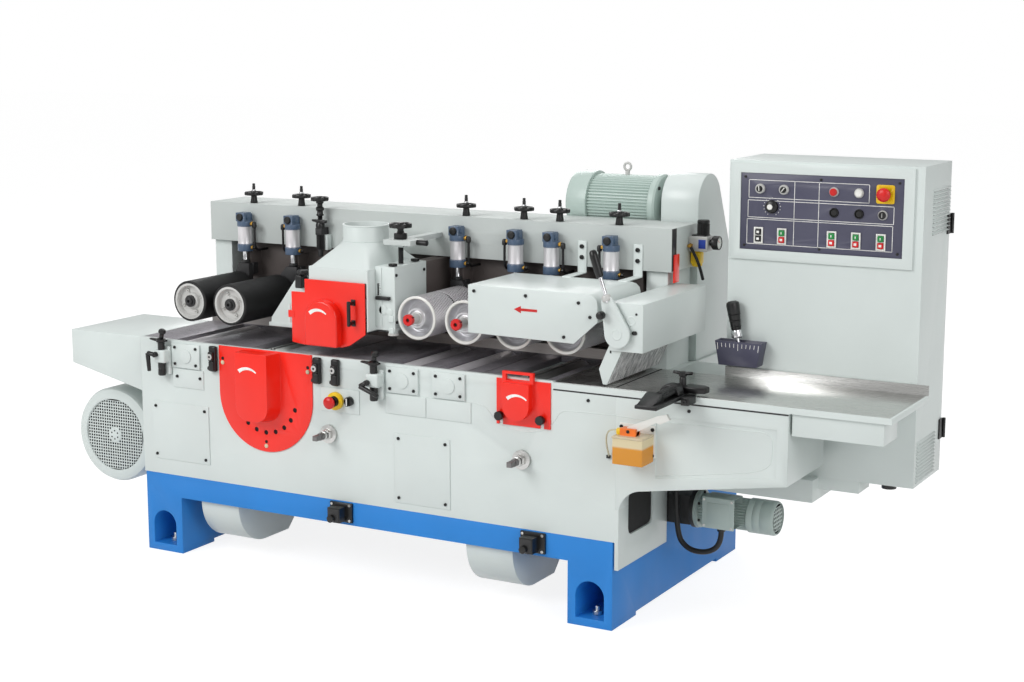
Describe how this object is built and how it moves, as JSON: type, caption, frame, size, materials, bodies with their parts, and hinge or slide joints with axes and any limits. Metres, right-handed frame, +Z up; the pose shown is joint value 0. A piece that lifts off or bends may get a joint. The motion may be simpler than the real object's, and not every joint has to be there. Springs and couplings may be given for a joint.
{
  "type": "double-sided planer",
  "caption": "Floor-standing machine that planes both faces of a board fed by driven rollers along a long bed, with a dust hood, red guards, a control cabinet and a welded base.",
  "frame": {"origin": "centre of the four anchor bolt holes, on the floor", "axes": "+X along the bed towards the infeed end, +Y from the operator's front to the back, +Z up"},
  "size_m": [3.01, 1.196, 1.394],
  "materials": {
    "grey_paint": "gloss",
    "blue_paint": "gloss",
    "red_paint": "gloss",
    "slate_paint": "satin",
    "white_paint": "gloss",
    "green_grey_paint": "satin",
    "dark_steel": "machined",
    "black_steel": "satin",
    "bright_steel": "ground",
    "polished_steel": "polished",
    "roller_rubber": "matt",
    "black_rubber": "matt",
    "black_plastic": "satin",
    "clear_plastic": "translucent",
    "green_plastic": "gloss",
    "red_plastic": "gloss"
  },
  "bodies": {
    "frame": {"base_frame": "blue_paint", "machine_body": "grey_paint", "front_plates": "grey_paint", "bed_plates": "dark_steel", "infeed_bracket": "grey_paint", "outfeed_table": "grey_paint", "feed_beam": "grey_paint", "drive_housing": "dark_steel", "cylinder_barrels": "white_paint", "air_lines": "black_rubber", "feed_motor": "grey_paint", "belt_guard": "grey_paint", "spindle_motor": "grey_paint", "gear_motor": "green_grey_paint", "motor_conduit": "black_rubber", "control_cabinet": "grey_paint", "control_panel": "slate_paint", "roller_cover": "grey_paint", "infeed_hood": "grey_paint", "rip_guard": "red_paint", "chip_chutes": "grey_paint", "oil_pump": "clear_plastic", "screws": "black_steel", "front_fittings": "black_steel"},
    "infeed_table": {"infeed_table": "polished_steel"},
    "roller_carriage_1": {"roller_carriage_1": "dark_steel"},
    "roller_carriage_2": {"roller_carriage_2": "dark_steel"},
    "roller_carriage_3": {"roller_carriage_3": "dark_steel"},
    "roller_carriage_4": {"roller_carriage_4": "dark_steel"},
    "roller_carriage_5": {"roller_carriage_5": "dark_steel"},
    "roller_carriage_6": {"roller_carriage_6": "dark_steel"},
    "feed_roller_1": {"feed_roller_1": "roller_rubber"},
    "feed_roller_2": {"feed_roller_2": "roller_rubber"},
    "feed_roller_3": {"feed_roller_3": "bright_steel"},
    "feed_roller_4": {"feed_roller_4": "bright_steel"},
    "feed_roller_5": {"feed_roller_5": "bright_steel"},
    "feed_roller_6": {"feed_roller_6": "bright_steel"},
    "stop_handwheel_1": {"stop_handwheel_1": "black_plastic"},
    "stop_handwheel_2": {"stop_handwheel_2": "black_plastic"},
    "stop_handwheel_3": {"stop_handwheel_3": "black_plastic"},
    "stop_handwheel_4": {"stop_handwheel_4": "black_plastic"},
    "stop_handwheel_5": {"stop_handwheel_5": "black_plastic"},
    "stop_handwheel_6": {"stop_handwheel_6": "black_plastic"},
    "dust_hood": {"dust_hood": "grey_paint"},
    "hood_door": {"hood_door": "red_paint"},
    "head_handwheel": {"head_handwheel": "black_plastic"},
    "upper_cutterhead": {"upper_cutterhead": "bright_steel"},
    "lower_cutterhead": {"lower_cutterhead": "bright_steel"},
    "rip_arbor": {"rip_arbor": "bright_steel"},
    "infeed_head_cover": {"infeed_head_cover": "red_paint"},
    "infeed_lever": {"infeed_lever": "grey_paint"},
    "kickback_fingers": {"kickback_fingers": "bright_steel"},
    "table_lever": {"table_lever": "black_plastic"},
    "oil_pump_lever": {"oil_pump_lever": "white_paint"},
    "start_buttons": {"start_buttons": "green_plastic"},
    "stop_buttons": {"stop_buttons": "red_plastic"},
    "bed_roller_1": {"bed_roller_1": "bright_steel"},
    "bed_roller_2": {"bed_roller_2": "bright_steel"},
    "bed_roller_3": {"bed_roller_3": "bright_steel"},
    "cabinet_door": {"cabinet_door": "grey_paint"}
  },
  "joints": [
    {"name": "roller_press_1", "type": "slide", "parent": "frame", "child": "roller_carriage_1", "axis": [0, 0, 1], "range_m": [0, 0.03]},
    {"name": "roller_press_2", "type": "slide", "parent": "frame", "child": "roller_carriage_2", "axis": [0, 0, 1], "range_m": [0, 0.03]},
    {"name": "roller_press_3", "type": "slide", "parent": "frame", "child": "roller_carriage_3", "axis": [0, 0, 1], "range_m": [0, 0.03]},
    {"name": "roller_press_4", "type": "slide", "parent": "frame", "child": "roller_carriage_4", "axis": [0, 0, 1], "range_m": [0, 0.03]},
    {"name": "roller_press_5", "type": "slide", "parent": "frame", "child": "roller_carriage_5", "axis": [0, 0, 1], "range_m": [0, 0.03]},
    {"name": "roller_press_6", "type": "slide", "parent": "frame", "child": "roller_carriage_6", "axis": [0, 0, 1], "range_m": [0, 0.03]},
    {"name": "roller_spin_1", "type": "hinge", "parent": "roller_carriage_1", "child": "feed_roller_1", "pos_m": [-0.73599, -0.2795, 0.867], "axis": [0, 1, 0], "continuous": true},
    {"name": "roller_spin_2", "type": "hinge", "parent": "roller_carriage_2", "child": "feed_roller_2", "pos_m": [-0.56798, -0.2795, 0.867], "axis": [0, 1, 0], "continuous": true},
    {"name": "roller_spin_3", "type": "hinge", "parent": "roller_carriage_3", "child": "feed_roller_3", "pos_m": [0.16801, -0.2795, 0.882], "axis": [0, 1, 0], "continuous": true},
    {"name": "roller_spin_4", "type": "hinge", "parent": "roller_carriage_4", "child": "feed_roller_4", "pos_m": [0.34104, -0.2795, 0.882], "axis": [0, 1, 0], "continuous": true},
    {"name": "roller_spin_5", "type": "hinge", "parent": "roller_carriage_5", "child": "feed_roller_5", "pos_m": [0.51604, -0.2795, 0.882], "axis": [0, 1, 0], "continuous": true},
    {"name": "roller_spin_6", "type": "hinge", "parent": "roller_carriage_6", "child": "feed_roller_6", "pos_m": [0.69105, -0.2795, 0.882], "axis": [0, 1, 0], "continuous": true},
    {"name": "bed_roller_spin_1", "type": "hinge", "parent": "frame", "child": "bed_roller_1", "pos_m": [-0.69796, -0.287, 0.6935], "axis": [0, 1, 0], "continuous": true},
    {"name": "bed_roller_spin_2", "type": "hinge", "parent": "frame", "child": "bed_roller_2", "pos_m": [0.16003, -0.287, 0.6935], "axis": [0, 1, 0], "continuous": true},
    {"name": "bed_roller_spin_3", "type": "hinge", "parent": "frame", "child": "bed_roller_3", "pos_m": [0.32803, -0.287, 0.6935], "axis": [0, 1, 0], "continuous": true},
    {"name": "stop_wheel_turn_1", "type": "hinge", "parent": "frame", "child": "stop_handwheel_1", "pos_m": [-0.71799, -0.071, 1.204], "axis": [0, 0, 1], "continuous": true},
    {"name": "stop_wheel_turn_2", "type": "hinge", "parent": "frame", "child": "stop_handwheel_2", "pos_m": [-0.51398, -0.071, 1.204], "axis": [0, 0, 1], "continuous": true},
    {"name": "stop_wheel_turn_3", "type": "hinge", "parent": "frame", "child": "stop_handwheel_3", "pos_m": [0.14601, -0.071, 1.204], "axis": [0, 0, 1], "continuous": true},
    {"name": "stop_wheel_turn_4", "type": "hinge", "parent": "frame", "child": "stop_handwheel_4", "pos_m": [0.36204, -0.071, 1.204], "axis": [0, 0, 1], "continuous": true},
    {"name": "stop_wheel_turn_5", "type": "hinge", "parent": "frame", "child": "stop_handwheel_5", "pos_m": [0.49204, -0.071, 1.204], "axis": [0, 0, 1], "continuous": true},
    {"name": "stop_wheel_turn_6", "type": "hinge", "parent": "frame", "child": "stop_handwheel_6", "pos_m": [0.70205, -0.071, 1.204], "axis": [0, 0, 1], "continuous": true},
    {"name": "head_lift", "type": "slide", "parent": "frame", "child": "dust_hood", "axis": [0, 0, 1], "range_m": [0, 0.05]},
    {"name": "head_wheel_turn", "type": "hinge", "parent": "frame", "child": "head_handwheel", "pos_m": [0.05046, -0.321, 1.151], "axis": [0, 0, 1], "range_deg": [0, 1800.5]},
    {"name": "hood_door_swing", "type": "hinge", "parent": "dust_hood", "child": "hood_door", "pos_m": [-0.28604, -0.464, 0.868], "axis": [0, 0, -1], "range_deg": [0, 110]},
    {"name": "upper_cutter_spin", "type": "hinge", "parent": "dust_hood", "child": "upper_cutterhead", "pos_m": [-0.09804, -0.287, 0.851], "axis": [0, 1, 0], "continuous": true},
    {"name": "lower_cutter_spin", "type": "hinge", "parent": "frame", "child": "lower_cutterhead", "pos_m": [0.59005, -0.287, 0.6827], "axis": [0, 1, 0], "continuous": true},
    {"name": "rip_arbor_spin", "type": "hinge", "parent": "frame", "child": "rip_arbor", "pos_m": [-0.37199, -0.287, 0.6827], "axis": [0, 1, 0], "continuous": true},
    {"name": "head_cover_lift", "type": "slide", "parent": "frame", "child": "infeed_head_cover", "axis": [0, 0, 1], "range_m": [0, 0.12]},
    {"name": "infeed_lever_swing", "type": "hinge", "parent": "frame", "child": "infeed_lever", "pos_m": [0.904, -0.287, 0.904], "axis": [0, 1, 0], "range_deg": [0, 35]},
    {"name": "kickback_swing", "type": "hinge", "parent": "frame", "child": "kickback_fingers", "pos_m": [0.904, -0.287, 0.904], "axis": [0, 1, 0], "range_deg": [0, 35]},
    {"name": "depth_lever_swing", "type": "hinge", "parent": "frame", "child": "table_lever", "pos_m": [1.152, -0.159, 0.8], "axis": [0, 1, 0], "range_deg": [0, 40.5]},
    {"name": "infeed_table_lift", "type": "slide", "parent": "frame", "child": "infeed_table", "axis": [0, 0, 1], "range_m": [0, 0.004]},
    {"name": "oil_lever_swing", "type": "hinge", "parent": "frame", "child": "oil_pump_lever", "pos_m": [0.968, -0.537, 0.634], "axis": [0, 1, 0], "range_deg": [0, 20], "stiffness_Nm_per_rad": 2, "springref_deg": -17.19},
    {"name": "start_button_push", "type": "slide", "parent": "frame", "child": "start_buttons", "axis": [0, 1, 0], "range_m": [0, 0.003], "stiffness_N_per_m": 400, "springref_m": -0.002},
    {"name": "stop_button_push", "type": "slide", "parent": "frame", "child": "stop_buttons", "axis": [0, 1, 0], "range_m": [0, 0.003], "stiffness_N_per_m": 400, "springref_m": -0.002},
    {"name": "cabinet_door_swing", "type": "hinge", "parent": "frame", "child": "cabinet_door", "pos_m": [1.694, 0.138, 0.9], "axis": [0, 0, -1], "range_deg": [0, 110]}
  ],
  "couplings": [
    {"joint": "roller_spin_1", "follows": "roller_spin_3", "ratio": 1},
    {"joint": "roller_spin_2", "follows": "roller_spin_3", "ratio": 1},
    {"joint": "roller_spin_4", "follows": "roller_spin_3", "ratio": 1},
    {"joint": "roller_spin_5", "follows": "roller_spin_3", "ratio": 1},
    {"joint": "roller_spin_6", "follows": "roller_spin_3", "ratio": 1},
    {"joint": "bed_roller_spin_1", "follows": "roller_spin_3", "ratio": -1.3883},
    {"joint": "bed_roller_spin_2", "follows": "roller_spin_3", "ratio": -1.3883},
    {"joint": "bed_roller_spin_3", "follows": "roller_spin_3", "ratio": -1.3883},
    {"joint": "head_wheel_turn", "follows": "head_lift", "rad_per_m": 628.32},
    {"joint": "kickback_swing", "follows": "infeed_lever_swing", "ratio": 1},
    {"joint": "depth_lever_swing", "follows": "infeed_table_lift", "rad_per_m": 174.53}
  ]
}
